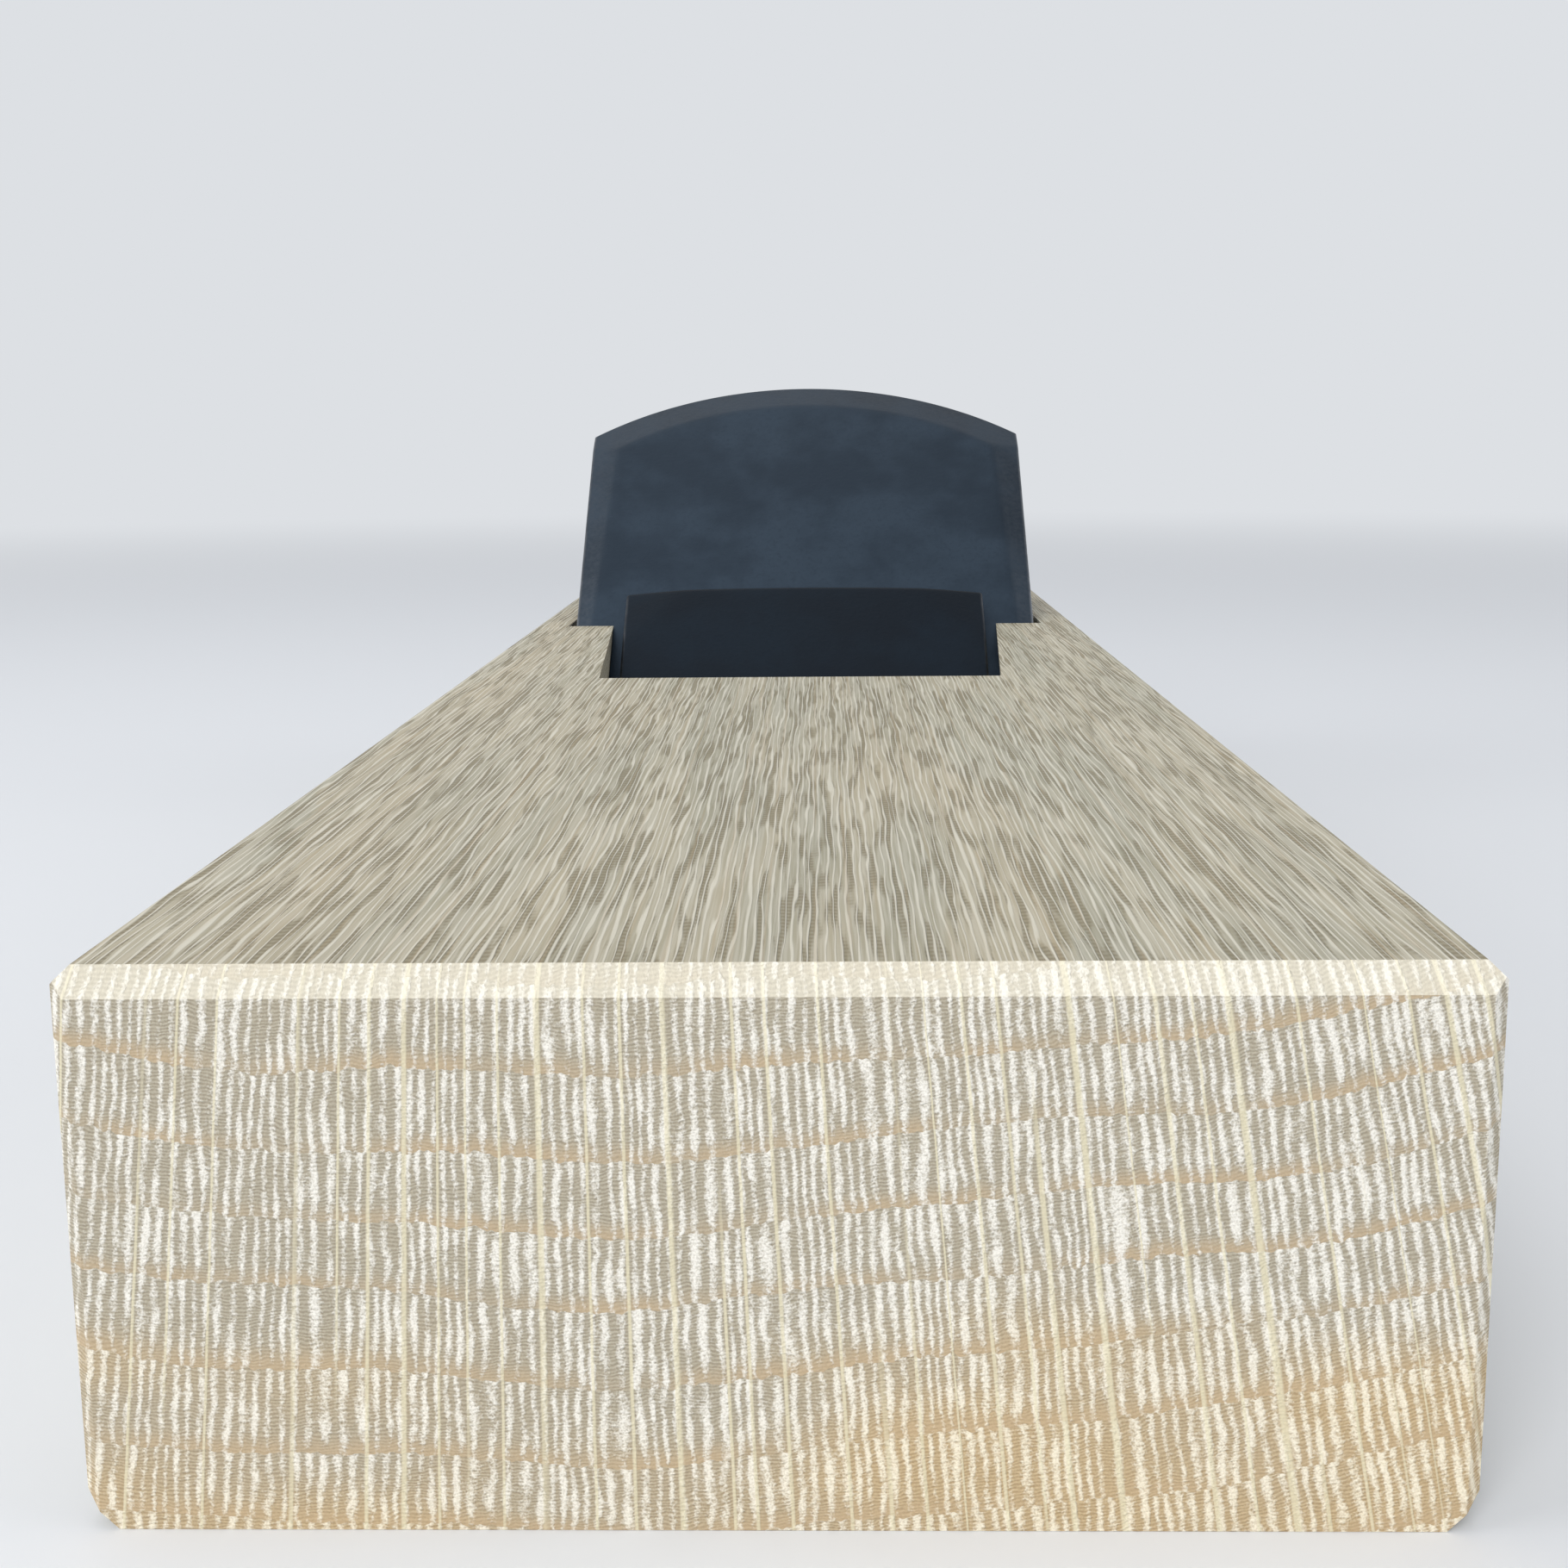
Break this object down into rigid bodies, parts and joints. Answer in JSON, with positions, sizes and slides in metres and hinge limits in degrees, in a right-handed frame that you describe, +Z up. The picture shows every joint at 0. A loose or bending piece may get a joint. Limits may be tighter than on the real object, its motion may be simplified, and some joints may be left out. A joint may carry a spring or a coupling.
{
  "type": "japanese hand plane",
  "caption": "Pull-stroke wooden hand plane: oak body, wedged laminated blade, chipbreaker laid on it and a cross pin; blade and chipbreaker slide out.",
  "frame": {"origin": "centre of the sole, on the sole's plane", "axes": "+Y along the body from the toe end to the heel end, over which the blade leans; +Z up from the sole; X across the body"},
  "size_m": [0.082, 0.275, 0.0696],
  "materials": {
    "oak": "planed, unfinished",
    "forged_iron": "dark forged, satin",
    "hard_steel": "ground",
    "pin_steel": "drawn wire"
  },
  "bodies": {
    "dai": {"dai": "oak", "pin": "pin_steel"},
    "blade": {"blade_iron": "forged_iron", "blade_steel": "hard_steel"},
    "chipbreaker": {"chipbreaker_iron": "forged_iron", "chipbreaker_steel": "hard_steel"}
  },
  "joints": [
    {"name": "blade_slide", "type": "slide", "parent": "dai", "child": "blade", "axis": [0, 0.7809, 0.6247], "range_m": [-0.0018, 0.06]},
    {"name": "chipbreaker_slide", "type": "slide", "parent": "blade", "child": "chipbreaker", "axis": [0, 0.7615, 0.6482], "range_m": [-0.0003, 0.06]}
  ]
}
